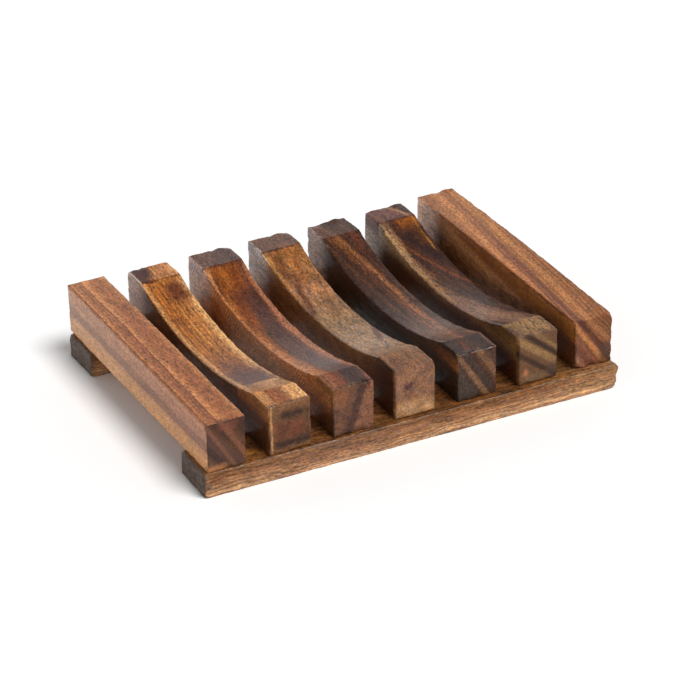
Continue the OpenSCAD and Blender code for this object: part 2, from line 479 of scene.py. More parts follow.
def wood_material(
    name, place, seed, tilt, layers, marks=(), length=85.0, sweep=0.0, wobble=0.3,
    stain=(1.0, 1.0, 1.0), end_tint=(1.0, 1.0, 1.0), edge_tint=(0.5, 0.42, 0.36), grain=0.16,
    specks=0.75, pores=0.5, cloud=0.1, hue=0.16, ribs=0.0, varnish=0.45,
):
    """The stained wood of one board, from its growth layers and the marks in it."""
    material, tree = new_material(name)
    back = place.inverted()
    spot = set_node(tree, "Mapping", {
        "Vector": set_node(tree, "TexCoord").outputs["Object"],
        "Location": back.to_translation(), "Rotation": back.to_euler(), "Scale": back.to_scale(),
    }).outputs[0]
    noises = set_node(
        tree, "Group", {"Place": spot, "Seed": float(seed)}, node_tree=noise_group
    ).outputs
    end_grain = set_node(tree, "Attribute", attribute_name="end_grain").outputs["Fac"]
    edge = set_node(tree, "Attribute", attribute_name="edge_wear").outputs["Fac"]
    side = set_node(tree, "Attribute", attribute_name="sawn_side").outputs["Fac"]
    layer = set_node(tree, "Group", node_tree=layers_group, inputs={
        "Place": spot, "Slow": noises["Slow"], "Quick": noises["Quick"], "Tilt": tilt,
        "Length": length, "Sweep": sweep, "Wobble": wobble,
    }).outputs["Layer"]
    first = layers[0][0]
    last = layers[-1][0]
    share = set_node(tree, "MapRange", {"Value": layer, "From Min": first, "From Max": last}).outputs[0]
    ramp = set_node(tree, "ValToRGB", {0: share})
    set_stops(ramp, [((depth - first) / (last - first), paint(code)) for depth, code in layers])
    colour = mix_colours(tree, end_grain, ramp.outputs[0], (*end_tint, 1.0), blend="MULTIPLY")
    for values in marks:
        inputs = {"Colour": colour, "Place": spot, "Ripple": noises["Ripple"], **values}
        colour = set_node(tree, "Group", node_tree=mark_group, inputs=inputs).outputs["Colour"]
    stained = set_node(tree, "Group", node_tree=grain_group, inputs={
        "Colour": colour, "Place": spot, "Fibre": noises["Fibre"], "Hair": noises["Hair"],
        "Speck": noises["Speck"], "Mottle": noises["Mottle"], "Tint": noises["Tint"],
        "End Grain": end_grain, "Side": side, "Edge": edge, "Grain": grain, "Specks": specks,
        "Pores": pores, "Cloud": cloud, "Hue": hue, "Ribs": ribs, "Stain": stain,
        "Edge Tint": edge_tint, "Varnish": varnish,
    }).outputs
    bump = set_node(tree, "Bump", {"Height": stained["Height"], "Strength": 0.5, "Distance": BUMP_HEIGHT})
    shader = set_node(tree, "BsdfPrincipled", {
        "Base Color": stained["Colour"], "Roughness": stained["Roughness"], "Normal": bump.outputs[0],
        "Specular IOR Level": GLOSS, "Coat Weight": stained["Varnish"], "Coat Roughness": VARNISH_ROUGHNESS,
    })
    set_node(tree, "OutputMaterial", {"Surface": shader.outputs[0]})
    return material


# A recess starts from a square of this width. A cut this near an older one joins it
NAIL_SQUARE = 3.4
CUT_REACH = 0.02
RECESS_RIM = 0.2
RECESS_WIDTH = 2.8
RECESS_DEPTH = 0.82
RAIL_LAYERS = (
    (0, "a4744e"), (0.7, "986a46"), (1.1, "c08e5e"), (1.6, "865a3a"), (1.9, "ac7e52"), (2.5, "b68a5c"),
    (2.9, "82563a"), (3.2, "b28252"), (3.8, "be9060"), (4.2, "885a38"), (4.6, "b48252"), (5.1, "784e30"),
    (5.5, "aa7846"), (6.1, "805230"), (6.6, "96643a"), (7.1, "724424"), (7.6, "88562a"), (8, "60381a"),
    (8.5, "805020"), (9.2, "643c1a"),
)


def slat_nodes():
    """Names of the slats' nodes, from left to right."""
    scooped = sorted(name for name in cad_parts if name.startswith("scooped_slat_"))
    return ["left_end_slat", *scooped, "right_end_slat"]


def nail_recess(bm, x, y):
    """Sink a round recess for a nail's head into the underside of a rail."""
    half = NAIL_SQUARE / 2
    under = [
        face for face in bm.faces
        if face.normal.z < -FACING
        and abs(face.calc_center_median().x - x) < half
        and abs(face.calc_center_median().y - y) < half
    ]
    square = bmesh.ops.dissolve_faces(bm, faces=under, use_verts=True)["region"][0]
    bmesh.ops.inset_individual(bm, faces=[square], thickness=RECESS_RIM, use_even_offset=True)
    centre = Vector((x, y, 0.0))
    for vert in square.verts:
        spoke = Vector((vert.co.x - x, vert.co.y - y, 0.0))
        vert.co = centre + spoke.normalized() * RECESS_WIDTH / 2
    sunk = bmesh.ops.extrude_face_region(bm, geom=[square])["geom"]
    sunk_verts = [item for item in sunk if isinstance(item, bmesh.types.BMVert)]
    bmesh.ops.translate(bm, verts=sunk_verts, vec=(0.0, 0.0, RECESS_DEPTH))
    # The extrusion leaves the face it started from, which would close the recess's mouth
    if square.is_valid:
        bmesh.ops.delete(bm, geom=[square], context="FACES_ONLY")


def rail_block(size, nail_places):
    """A sawn strip with rounded edges and a recess under each nail."""
    bm = square_block(size)
    for x, y in nail_places:
        for spot, way in ((ACROSS * x, ACROSS), (ALONG * y, ALONG)):
            for side in (-NAIL_SQUARE / 2, NAIL_SQUARE / 2):
                bmesh.ops.bisect_plane(
                    bm, geom=bm.verts[:] + bm.edges[:] + bm.faces[:], dist=CUT_REACH,
                    plane_co=spot + way * side, plane_no=way,
                )
    round_edges(bm)
    cut_finely(bm)
    bm.normal_update()
    for x, y in nail_places:
        nail_recess(bm, x, y)
    return bm


low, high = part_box("back_rail")
rail_size = Vector((high.y - low.y, high.x - low.x, high.z - low.z)) / MM
back_rail_place = board_frame(Vector((low.x, high.y, low.z)), -math.pi / 2)
low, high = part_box("front_rail")
rail_skew = math.asin(((high.y - low.y) / MM - rail_size.x) / rail_size.y)
front_corner = Vector((low.x + rail_size.x * MM * math.sin(rail_skew), high.y, low.z))
front_rail_place = board_frame(front_corner, -math.pi / 2 - rail_skew)
slat_middles = [(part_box(name)[0].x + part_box(name)[1].x) / 2 for name in slat_nodes()]
rail_width, rail_length, rail_height = rail_size
FRONT_RAIL_KNOCKS = (
    ((rail_width, rail_length, rail_height - 1.3), 2.2, (0, 0.7, 0)),
    ((rail_width, rail_length, rail_height), 0.9, (-0.1, -0.2, -0.3)),
    ((rail_width, rail_length, 0), 2, (-0.1, -0.4, 0.3)),
    ((0, 0, rail_height), 2, (0.5, 0, -0.3)),
    ((rail_width, 0, 0), 1.6, (0, 0.3, 0.2)),
)
BACK_RAIL_KNOCKS = (
    ((0, 0, rail_height), 2, (0.3, 0.2, -0.3)),
    ((rail_width, 0, 0), 1.4, (-0.1, 0.2, 0.2)),
    ((rail_width, rail_length, 0), 2, (-0.3, -0.3, 0.3)),
)

for node, place, seed, trim, knocks in (
    ("front_rail", front_rail_place, 11, (0.0, 0.0, -0.45, 0.1), FRONT_RAIL_KNOCKS),
    ("back_rail", back_rail_place, 12, (0.0, 0.0, -0.2, 0.0), BACK_RAIL_KNOCKS),
):
    middle = place @ Vector((rail_width / 2, 0.0, 0.0))
    run = (place.to_3x3() @ ALONG) / MM
    # The worn rail is a little longer than its block, so the recesses are set out to suit
    stretch = 1.0 + (trim[3] - trim[2]) / rail_length
    along = [(x - middle.x) / run.x / MM for x in slat_middles]
    nail_places = [(rail_width / 2, (y - trim[2]) / stretch) for y in along]
    bm = rail_block(rail_size, nail_places)
    wear(bm, rail_size, seed, trim=trim, knocks=knocks)
    marks = (
        mark("c08c58", (rail_width, rail_length, 3), (30, 14, 20), (1, 13, 1), strength=0.25),
        mark("d0a68c", (rail_width, 36, 3), (0.6, 18, 20), (0.3, 16, 1), strength=0.08),
        # A painted highlight: a thin pale line along the top front edge stands in for a glint
        mark("c0a07c", (rail_width, 60, rail_height), (0.15, 70, 0.2), (0.15, 3, 0.2), strength=0.3),
        mark("5e4c3c", (7, 0, 3.5), (8, 0.6, 4), (2, 0.5, 1.5), strength=0.55, ragged=1.4),
    )
    material = wood_material(
        node + "_wood", place, seed, tilt=(0.15, 0.006, 1.0), layers=RAIL_LAYERS, marks=marks,
        length=rail_length, wobble=1.5, stain=(1.16, 1.22, 1.42), end_tint=(0.14, 0.12, 0.1), grain=0.5,
        specks=0.8, pores=0.25, cloud=0.32, hue=0.24, varnish=0.5,
    )
    lay_board(node, bm, place, material)

# Nails: fourteen thin steel nails hold the slats. Each was driven up through a rail into the middle
# of a slat, and its flat round head stays sunk in the rail's underside. The steel is dull and grey.
STEEL = (0.36, 0.35, 0.34, 1.0)
WORN_STEEL = (0.56, 0.55, 0.53, 1.0)

nail_material, tree = new_material("nail_steel")
spot = set_node(tree, "TexCoord").outputs["Object"]
scuffs = set_node(tree, "TexNoise", {"Vector": spot, "Scale": 1800.0, "Detail": 4.0}).outputs[0]
colour = mix_colours(tree, scuffs, STEEL, WORN_STEEL)
rough = maths(tree, "MULTIPLY_ADD", scuffs, 0.35, 0.22)
bump = set_node(tree, "Bump", {"Height": scuffs, "Strength": 0.4, "Distance": 0.02 * MM})
shader = set_node(tree, "BsdfPrincipled", {
    "Base Color": colour, "Metallic": 1.0, "Roughness": rough, "Normal": bump.outputs[0],
})
set_node(tree, "OutputMaterial", {"Surface": shader.outputs[0]})
for node in ("front_rail_nails", "back_rail_nails"):
    for material_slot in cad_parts[node].material_slots:
        material_slot.material = nail_material

# Left end slat: a plain square bar of reddish hardwood, cut to length and nailed across the rails.
# Its layers slant, so the same dark stripes show on its top, its outer side and its front end.
low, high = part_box("left_end_slat")
size = (high - low) / MM
place = board_frame(low)
bm = square_block(size)
round_edges(bm)
cut_finely(bm)
wear(bm, size, seed=1, trim=(0.08, -0.08, 0.06, 1.1))
material = wood_material(
    "left_end_slat_wood", place, seed=1, tilt=(1.2, 0.0, 1.0), wobble=0.35, stain=(1.2, 1.25, 1.2),
    layers=(
        (0, "c88c5c"), (3.5, "c48a5c"), (5.2, "b07a54"), (6, "8a5b48"), (8, "8a5c48"),
        (8.9, "aa7358"), (11, "a67056"), (13, "b87e5c"), (14.4, "b27242"), (15.2, "a4663a"),
        (15.9, "8a4e2e"), (16.4, "975c3a"), (16.9, "82472a"), (17.6, "8e5232"), (18.4, "763f24"),
        (18.8, "c07c4a"), (19.5, "b87242"), (20.6, "a4643a"), (21.4, "9a5a2e"), (22.4, "8b4d2e"),
        (23.2, "96582f"), (24.4, "884c2d"), (25.6, "9c6034"), (26.6, "a4663a"), (27.2, "ac6e42"),
    ),
    marks=(
        mark("84482c", (8.6, 66, size.z), (1.6, 14, 3), (1.4, 8, 2), strength=0.5, ragged=0.6),
        mark("8a4c30", (7.6, 24, size.z), (1.6, 12, 1.2), (1.6, 8, 0.8), strength=0.4, ragged=0.8),
        mark("6e402c", (5.2, 52, size.z), (0.9, 26, 1.2), (0.8, 12, 0.8), strength=0.35, ragged=0.7),
        mark("ce946c", (5.5, 84, size.z), (9, 22, 1.2), (1, 20, 0.8), strength=0.15),
        # A painted sheen: a faint pale wash over the back half of the outer side
        mark("d8b4a0", (0, size.y, 7), (0.4, 36, 9), (0.3, 34, 1), strength=0.22, ragged=0.2),
        mark("6a2c1a", (0.3, 42, size.z), (0.25, 60, 1), (0.25, 3, 0.5), strength=0.7, ragged=0.15),
        mark("6c4230", (3.6, 0, 7.4), (0.6, 1, 9), (0.5, 0.8, 1), slant=0.6),
        mark("70422c", (8.2, 0, 7.4), (1, 1, 9), (0.6, 0.8, 1), slant=0.6),
        mark("6c3828", (6, 0, 12.5), (2.6, 1, 1.2), (1.2, 0.8, 0.8), strength=0.7),
        mark("a2683e", (2, 0, 0), (3.2, 1, 1.6), (1.8, 0.8, 0.9), strength=0.9),
    ),
    end_tint=(0.18, 0.165, 0.19), edge_tint=(0.75, 0.7, 0.66), grain=0.18, specks=0.7, cloud=0.18,
)
lay_board("left_end_slat", bm, place, material)

# Right end slat: the left one's twin, cut from redder wood with more and finer stripes. The saw left
# its right side ragged, and its lower left front corner is knocked round.
low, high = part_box("right_end_slat")
size = (high - low) / MM
place = board_frame(low)
RIGHT_END_KNOCKS = (
    ((0, 0, 0), 2.4, (0.5, 0.3, 0.6)),
    ((5, 0, 0), 1.4, (0, 0.2, 0.3)),
    ((size.x, 0, size.z), 1.6, (-0.2, 0.1, -0.3)),
    ((size.x, 0, 9.6), 1.2, (-0.2, 0, 0)),
    ((size.x, 0, 5.4), 1.2, (-0.2, 0, 0)),
    ((size.x, 0, 1.6), 1.2, (-0.25, 0, 0)),
    ((6, size.y, size.z), 1.6, (0, 0, -0.25)),
    ((8.6, size.y, size.z), 1.8, (0, 0.1, 0.25)),
    ((size.x, size.y * 0.6, size.z), 52, (0.6, 0, 0)),
)
bm = square_block(size)
round_edges(bm)
cut_finely(bm)
wear(bm, size, seed=2, trim=(0.1, 0.5, -0.07, 1.1), knocks=RIGHT_END_KNOCKS)
material = wood_material(
    "right_end_slat_wood", place, seed=2, tilt=(1.0, -0.09, 0.8), wobble=0.45, stain=(1.18, 1.13, 1.12),
    layers=(
        (-4, "7c4826"), (0, "a06a40"), (3.5, "a87248"), (5, "7a4626"), (6.8, "7c4828"),
        (7.6, "9a5c30"), (8.2, "90562e"), (9.2, "b07240"), (10.6, "aa6c3a"), (11.2, "743e20"),
        (11.7, "90552e"), (12.3, "6a361a"), (13.2, "70401e"), (13.8, "9c622e"), (14.4, "885022"),
        (15, "aa6e38"), (16.3, "a56a34"), (17, "824c1e"), (17.5, "9a6030"), (18.1, "764014"),
        (18.8, "96602c"), (19.4, "7c4416"), (20.2, "8e521e"), (20.7, "7a4214"), (21.4, "9a5e2a"),
        (22.1, "7e460f"), (23, "8c5014"),
    ),
    marks=(
        mark("b88050", (5.5, 80, size.z), (9, 26, 2), (1, 24, 1), strength=0.35),
        mark("3c1404", (0, 40, size.z), (0.5, 36, 0.8), (0.4, 4, 0.4), strength=0.8),
        # Darker low on the left side: partly the wood's own colour, partly painted shade deep in the gap
        mark("43200a", (0, 42, 3.4), (0.5, 60, 4.4), (0.3, 5, 2.2), strength=0.85),
        mark("8c5618", (0, 45, 11), (0.5, 60, 2.6), (0.3, 5, 1.6), strength=0.8),
        # A painted reflection: pale glare on the back of the left side
        mark("ecc8b4", (0, 82, 10), (0.4, 7, 9), (0.3, 3, 2), strength=0.95, ragged=0.2),
        mark("5a300f", (3, 0, 8), (0.9, 1, 9), (0.7, 0.8, 1), slant=0.72),
        mark("aa6f3f", (5, 0, 6.2), (0.9, 1, 9), (0.7, 0.8, 1), slant=0.72, ragged=0.5),
        mark("54290f", (7.4, 0, 6.2), (0.9, 1, 9), (0.7, 0.8, 1), slant=0.72),
        mark("4a3020", (9.6, 0, 3), (1.8, 1, 3), (1, 0.8, 1.2), strength=0.8),
    ),
    end_tint=(0.68, 0.69, 0.96), grain=0.22, cloud=0.16,
)
lay_board("right_end_slat", bm, place, material)

# Scooped slats: five square hardwood bars with a shallow round scoop cut across their tops, where
# the soap lies. Each was cut by hand from another board, so that scoops and lands differ by a few
# tenths. Like the end slats, they are stained, varnished and nailed to the rails from below.
RIDGE_REACH = 0.1
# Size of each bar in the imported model, by which its marks and knocks are placed
SLAT_WIDTH, SLAT_LENGTH, SLAT_TOP = 11.7, 85, 14


def scooped_block(size, front_land, back_land, depth):
    """A square bar with a round scoop across its top, as wide as the bar."""
    chord = size.y - front_land - back_land
    radius = (chord * chord / 4 + depth * depth) / (2 * depth)
    centre = Vector((0.0, front_land + chord / 2, size.z - depth + radius))
    angle = 2 * math.asin(chord / 2 / radius)
    bm = bmesh.new()
    start = bmesh.ops.create_vert(bm, co=(0.0, size.y - back_land, size.z))["vert"][0]
    bmesh.ops.spin(
        bm, geom=[start], cent=centre, axis=ACROSS, dvec=(0, 0, 0), angle=-angle,
        steps=round(chord / GRID_STEP), use_merge=False, use_normal_flip=False, use_duplicate=False,
    )
    ends = [vert for vert in bm.verts if len(vert.link_edges) == 1]
    for vert, y in zip(sorted(ends, key=lambda v: v.co.y), (0.0, size.y)):
        bmesh.ops.extrude_vert_indiv(bm, verts=[vert])["verts"][0].co.y = y
    side = bmesh.ops.extrude_edge_only(bm, edges=bm.edges[:])["geom"]
    for item in side:
        if isinstance(item, bmesh.types.BMVert):
            item.co.z = 0.0
    across = bmesh.ops.extrude_face_region(bm, geom=bm.faces[:])["geom"]
    moved = [item for item in across if isinstance(item, bmesh.types.BMVert)]
    bmesh.ops.translate(bm, verts=moved, vec=(size.x, 0.0, 0.0))
    bmesh.ops.recalc_face_normals(bm, faces=bm.faces)
    return bm


def scoop_top(size, front_land, back_land, depth):
    """A function that gives the height of a scooped slat's top at any place along it."""
    chord = size.y - front_land - back_land
    radius = (chord * chord / 4 + depth * depth) / (2 * depth)
    middle = front_land + chord / 2

    def top(y):
        if abs(y - middle) >= chord / 2:
            return size.z
        return size.z - depth + radius - math.sqrt(radius * radius - (y - middle) ** 2)

    return top


def scooped_slat(number, slot, seed, front_land, back_land, depth, trim, knocks, marks=(), **figure):
    """Make one scooped slat, with a thin dark line painted just inside the back ridge of its scoop."""
    node = f"scooped_slat_{number}"
    low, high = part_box(node)
    size = (high - low) / MM
    place = board_frame(low)
    bm = scooped_block(size, front_land, back_land, depth)
    round_edges(bm)
    cut_finely(bm)
    for edge in bm.edges:
        near_top = all(vert.co.z > size.z - EDGE_RADIUS for vert in edge.verts)
        for ridge in (front_land, size.y - back_land):
            if near_top and all(abs(vert.co.y - ridge) < RIDGE_REACH for vert in edge.verts):
                edge.smooth = False
    wear(bm, size, seed, scoop_top(size, front_land, back_land, depth), trim, knocks)
    ridge = (size.x / 2, size.y - back_land - 0.1, size.z)
    ridge_line = mark("4a2410", ridge, (9.0, 0.2, 1.0), (0.3, 0.35, 0.4), strength=0.75)
    material = wood_material(node + "_wood", place, seed, marks=(*marks, ridge_line), **figure)
    lay_board(node, bm, place, material)


# First scooped slat: honey-coloured wood with dark heartwood at both ends. A wide dark stain lies
# across the front half of its scoop, and the saw chipped its back edge.
scooped_slat(
    1, "honey_slat_wood", seed=3, front_land=8.79, back_land=8.07, depth=5.78,
    trim=(-0.16, 0.16, 0.04, 0.3),
    knocks=(
        ((0, SLAT_LENGTH, SLAT_TOP), 1.8, (0.15, -0.1, -0.35)),
        ((3.2, SLAT_LENGTH, SLAT_TOP), 1.2, (0, 0, -0.15)),
        ((5.2, SLAT_LENGTH, SLAT_TOP), 1, (0, 0, -0.12)),
        ((0, 0, 9.6), 2.2, (0.5, 0.2, 0)),
        ((0, 0, 3.2), 2, (0.35, 0.1, 0)),
    ),
    tilt=(1.0, 0.0, 0.0), stain=(1.24, 1.12, 1.06),
    layers=(
        (0, "5c3c20"), (0.3, "5c3c20"), (0.5, "bd8a58"), (1.3, "b48048"), (1.7, "9c6832"),
        (2.1, "824c18"), (2.6, "ac7238"), (3.1, "8a5220"), (3.7, "a66c32"), (4.1, "784416"),
        (4.7, "ae763c"), (5.3, "8a5420"), (5.8, "a66c30"), (6.2, "c08c4a"), (6.6, "905824"),
        (7.2, "ac743e"), (7.8, "8c5622"), (8.5, "ae7842"), (9.2, "9a6634"), (9.8, "b8824c"),
        (10.6, "c6985e"), (11.7, "caa068"),
    ),
    marks=(
        mark("84440c", (3.6, 66, 10), (2.4, 9, 20), (1.4, 4, 1), strength=0.35, ragged=0.8),
        mark("5c2a12", (8.4, 71.6, 12), (3, 4.4, 20), (2.2, 3, 1), strength=0.9, ragged=0.8),
        mark("a86c24", (5.8, 76, SLAT_TOP), (7, 0.7, 2), (1, 0.3, 1), strength=0.4),
        mark("7c4818", (6.5, 40, 8), (2.6, 6, 20), (1.5, 4, 1), strength=0.5, ragged=0.8),
        mark("643418", (6.2, 28, 9), (3.8, 8, 20), (2.4, 7, 1), strength=0.8, ragged=0.8),
        mark("4c1e04", (6.2, 20, 9), (4.8, 9, 20), (1.8, 7, 1), lean=0.08, ragged=0.9),
        mark("906436", (5.8, 13, 12), (9, 4.4, 3), (0.6, 0.7, 1), lean=0.1),
        mark("b08454", (8.4, 13, 12), (3.2, 4.3, 3), (2.4, 0.7, 1), strength=0.7),
        mark("b48450", (0.8, 40, 9), (0.55, 30, 20), (0.5, 6, 1), strength=0.7),
        mark("401a0c", (1.6, 82, 13), (3.6, 5.3, 4), (1.5, 0.3, 1.5), lean=-0.30, ragged=0.6),
        mark("9a6034", (9.4, 81, SLAT_TOP), (2.6, 4.3, 2), (1.4, 0.3, 1), strength=0.6),
        mark("d09e64", (9.6, 4.4, SLAT_TOP), (2.4, 4.4, 1), (1.2, 0.5, 0.6), strength=0.7),
        mark("864c24", (4.8, 4.4, SLAT_TOP), (2.2, 4.4, 1.6), (1.2, 0.5, 0.8), lean=0.06),
        mark("b07c46", (1.2, 4.4, SLAT_TOP), (1.4, 4.4, 1), (0.6, 0.5, 0.5)),
        mark("745030", (5.8, 0, 7), (9, 1.2, 9), (1, 0.6, 1), ragged=0.2),
        mark("5e341e", (6.2, 0, 6), (5, 1.2, 3), (2, 0.6, 1.8), ragged=0.3),
        mark("2e190c", (6.8, 0, 10.6), (4.2, 1.2, 1.4), (2.4, 0.6, 1.4), strength=0.95, ragged=0.4),
        mark("36200f", (11, 0, 7), (0.6, 1.2, 4.6), (1.2, 0.6, 2), strength=0.8, ragged=0.3),
        mark("2c170c", (7, 0, 2.4), (5.4, 1.2, 1.1), (1.6, 0.6, 1.2), strength=0.95, ragged=0.4),
        mark("b08a5a", (0.7, 0, 7), (0.25, 1, 9), (0.25, 0.6, 1), strength=0.8, ragged=0.4),
        # Darker low on the left side: partly the wood's own colour, partly painted shade deep in the gap
        mark("2e1c12", (0, 40, 3), (0.4, 60, 4), (0.3, 5, 3.4), strength=0.75),
        mark("986a40", (0, 4, 11.6), (0.4, 7, 1.8), (0.3, 4, 1.4), strength=0.8, ragged=0.2),
        # A painted reflection: pale glare on the back of the left side
        mark("bcaaa0", (0, 82, 10), (0.4, 7, 9), (0.3, 3, 2), strength=0.85, ragged=0.2),
    ),
    edge_tint=(0.95, 0.92, 0.9), grain=0.34, pores=0.6, cloud=0.24, ribs=0.3,
)

# Second scooped slat: a board with amber sapwood along its edges, and a long dark heart that slants
# down through it to the front end. The saw left it wide at its back right corner.
scooped_slat(
    2, "amber_slat_wood", seed=4, front_land=8.83, back_land=8.54, depth=5.75,
    trim=(-0.05, 0.05, -0.09, 0.4),
    knocks=(
        ((7, SLAT_LENGTH, SLAT_TOP), 1.2, (0, 0, -0.2)),
        ((8.8, SLAT_LENGTH, SLAT_TOP), 1.4, (0, 0.1, 0.15)),
        ((SLAT_WIDTH, SLAT_LENGTH, SLAT_TOP), 2, (-0.1, -0.1, -0.3)),
        ((SLAT_WIDTH, 79, SLAT_TOP), 13, (0.6, 0, 0)),
        ((9.3, 0, SLAT_TOP), 1.3, (0, 0.1, -0.3)),
        ((4, 0, 0), 1.2, (0, 0.15, 0.2)),
        ((8.5, 0, 0), 1, (0, 0.15, 0.2)),
    ),
    tilt=(1.0, 0.0, -0.35), wobble=0.7, stain=(1.18, 1.05, 1.04),
    layers=(
        (-5, "a86e38"), (-3.6, "b27a4a"), (-2.6, "a4682e"), (-1.6, "96581e"), (-0.8, "7c4612"),
        (0, "60381a"), (0.6, "4c2e1c"), (1.2, "583824"), (1.9, "4c2e20"), (2.7, "543628"),
        (3.4, "482c20"), (4.1, "52342a"), (4.8, "462a22"), (5.5, "563628"), (6.2, "683e2a"),
        (6.9, "905c3a"), (8, "9c6848"),
    ),
    marks=(
        mark("7c420a", (5.5, 71, 12), (4.2, 6, 4), (1.8, 3.5, 1), lean=-0.12, ragged=0.6),
        mark("985a1c", (4.8, 73, 12), (0.7, 6, 4), (0.6, 3, 1), lean=-0.10, strength=0.8),
        mark("4e2208", (7.2, 68, 12), (0.5, 6, 4), (0.7, 3, 1), lean=-0.06, strength=0.7),
        mark("743c0e", (3.4, 56, 9), (1.6, 9, 4), (1.2, 4, 1), lean=-0.12),
        mark("3c1804", (1.4, 69, 12), (0.35, 5, 4), (0.5, 2, 1), lean=-0.05, strength=0.8),
        mark("34180c", (9.6, 60, 10), (1, 6, 4), (1.1, 4, 1), lean=0.03, strength=0.8),
        mark("542408", (6, 62, 10), (3.6, 5, 4), (2.6, 4, 1), strength=0.4, ragged=0.9),
        mark("46180a", (5.1, 41.6, 8), (0.5, 0.7, 4), (0.5, 0.6, 1)),
        mark("96603a", (11.3, 40, 9), (0.8, 26, 4), (0.6, 5, 1), strength=0.8),
        mark("543e38", (5.85, 80.9, SLAT_TOP), (7, 4.3, 4), (0.4, 0.25, 1.5), strength=0.9),
        mark("7a4418", (0, 81, SLAT_TOP), (0.6, 4.3, 0.6), (0.3, 0.3, 0.4), strength=0.8),
        mark("6e3618", (3.6, 5, SLAT_TOP), (1.9, 3.8, 1.2), (0.9, 0.6, 0.8), strength=0.8),
        mark("462010", (0.6, 4.4, SLAT_TOP), (1, 4.4, 1.2), (0.6, 0.4, 0.8), strength=0.7),
        mark("3a2018", (8.6, 4.4, SLAT_TOP), (2.8, 4.4, 1), (1.2, 0.5, 0.8), ragged=0.6),
        mark("84442a", (11.4, 2, SLAT_TOP), (0.5, 2.6, 1), (0.5, 1.4, 0.6), strength=0.8),
        mark("2a1a12", (5.8, 0.6, SLAT_TOP), (6, 0.4, 0.6), (0.3, 0.3, 0.4), strength=0.8),
        # A painted highlight: a thin pale broken line along the top front edge stands in for a glint
        mark("c8b4a4", (4.4, 0, 13.9), (3.8, 0.18, 0.18), (1, 0.12, 0.12), strength=0.7, ragged=0.15),
        mark("5c3e2a", (2, 0, 7), (4.6, 1.2, 8.5), (1.4, 0.7, 1), slant=-0.32, ragged=0.2),
        mark("7c4e2c", (1.8, 0, 11.6), (2.2, 1.2, 2.4), (1.8, 0.7, 2.4), strength=0.9),
        mark("3c261c", (6.2, 0, 7), (0.8, 1.2, 8.5), (0.9, 0.7, 1), slant=-0.32, strength=0.85),
        mark("734e36", (10.4, 0, 5.6), (3, 1.2, 6.4), (0.6, 0.7, 1.4), slant=-0.32, ragged=0.2),
        mark("4a3022", (4.6, 0, 0.6), (3, 1.2, 0.6), (2, 0.7, 0.8), strength=0.6),
        mark("9a8270", (0, 36, 4.4), (0.4, 26, 3.6), (0.3, 10, 3), strength=0.85),
        mark("6c4818", (0, 4, 11.4), (0.4, 6, 2.4), (0.3, 5, 1.6), strength=0.6, ragged=0.2),
        # Darker low at the front of the left side: partly the wood's own colour, partly painted shade above
        # the rail
        mark("221208", (0, 3, 2), (0.4, 8, 5.6), (0.3, 5, 3), strength=0.8),
        # A painted reflection: pale glare on the back of the left side
        mark("b4a69e", (0, 81, 10), (0.4, 8, 9), (0.3, 4, 2), strength=0.8, ragged=0.3),
    ),
    edge_tint=(0.9, 0.84, 0.8), grain=0.26, specks=0.85, cloud=0.26, ribs=0.7,
)

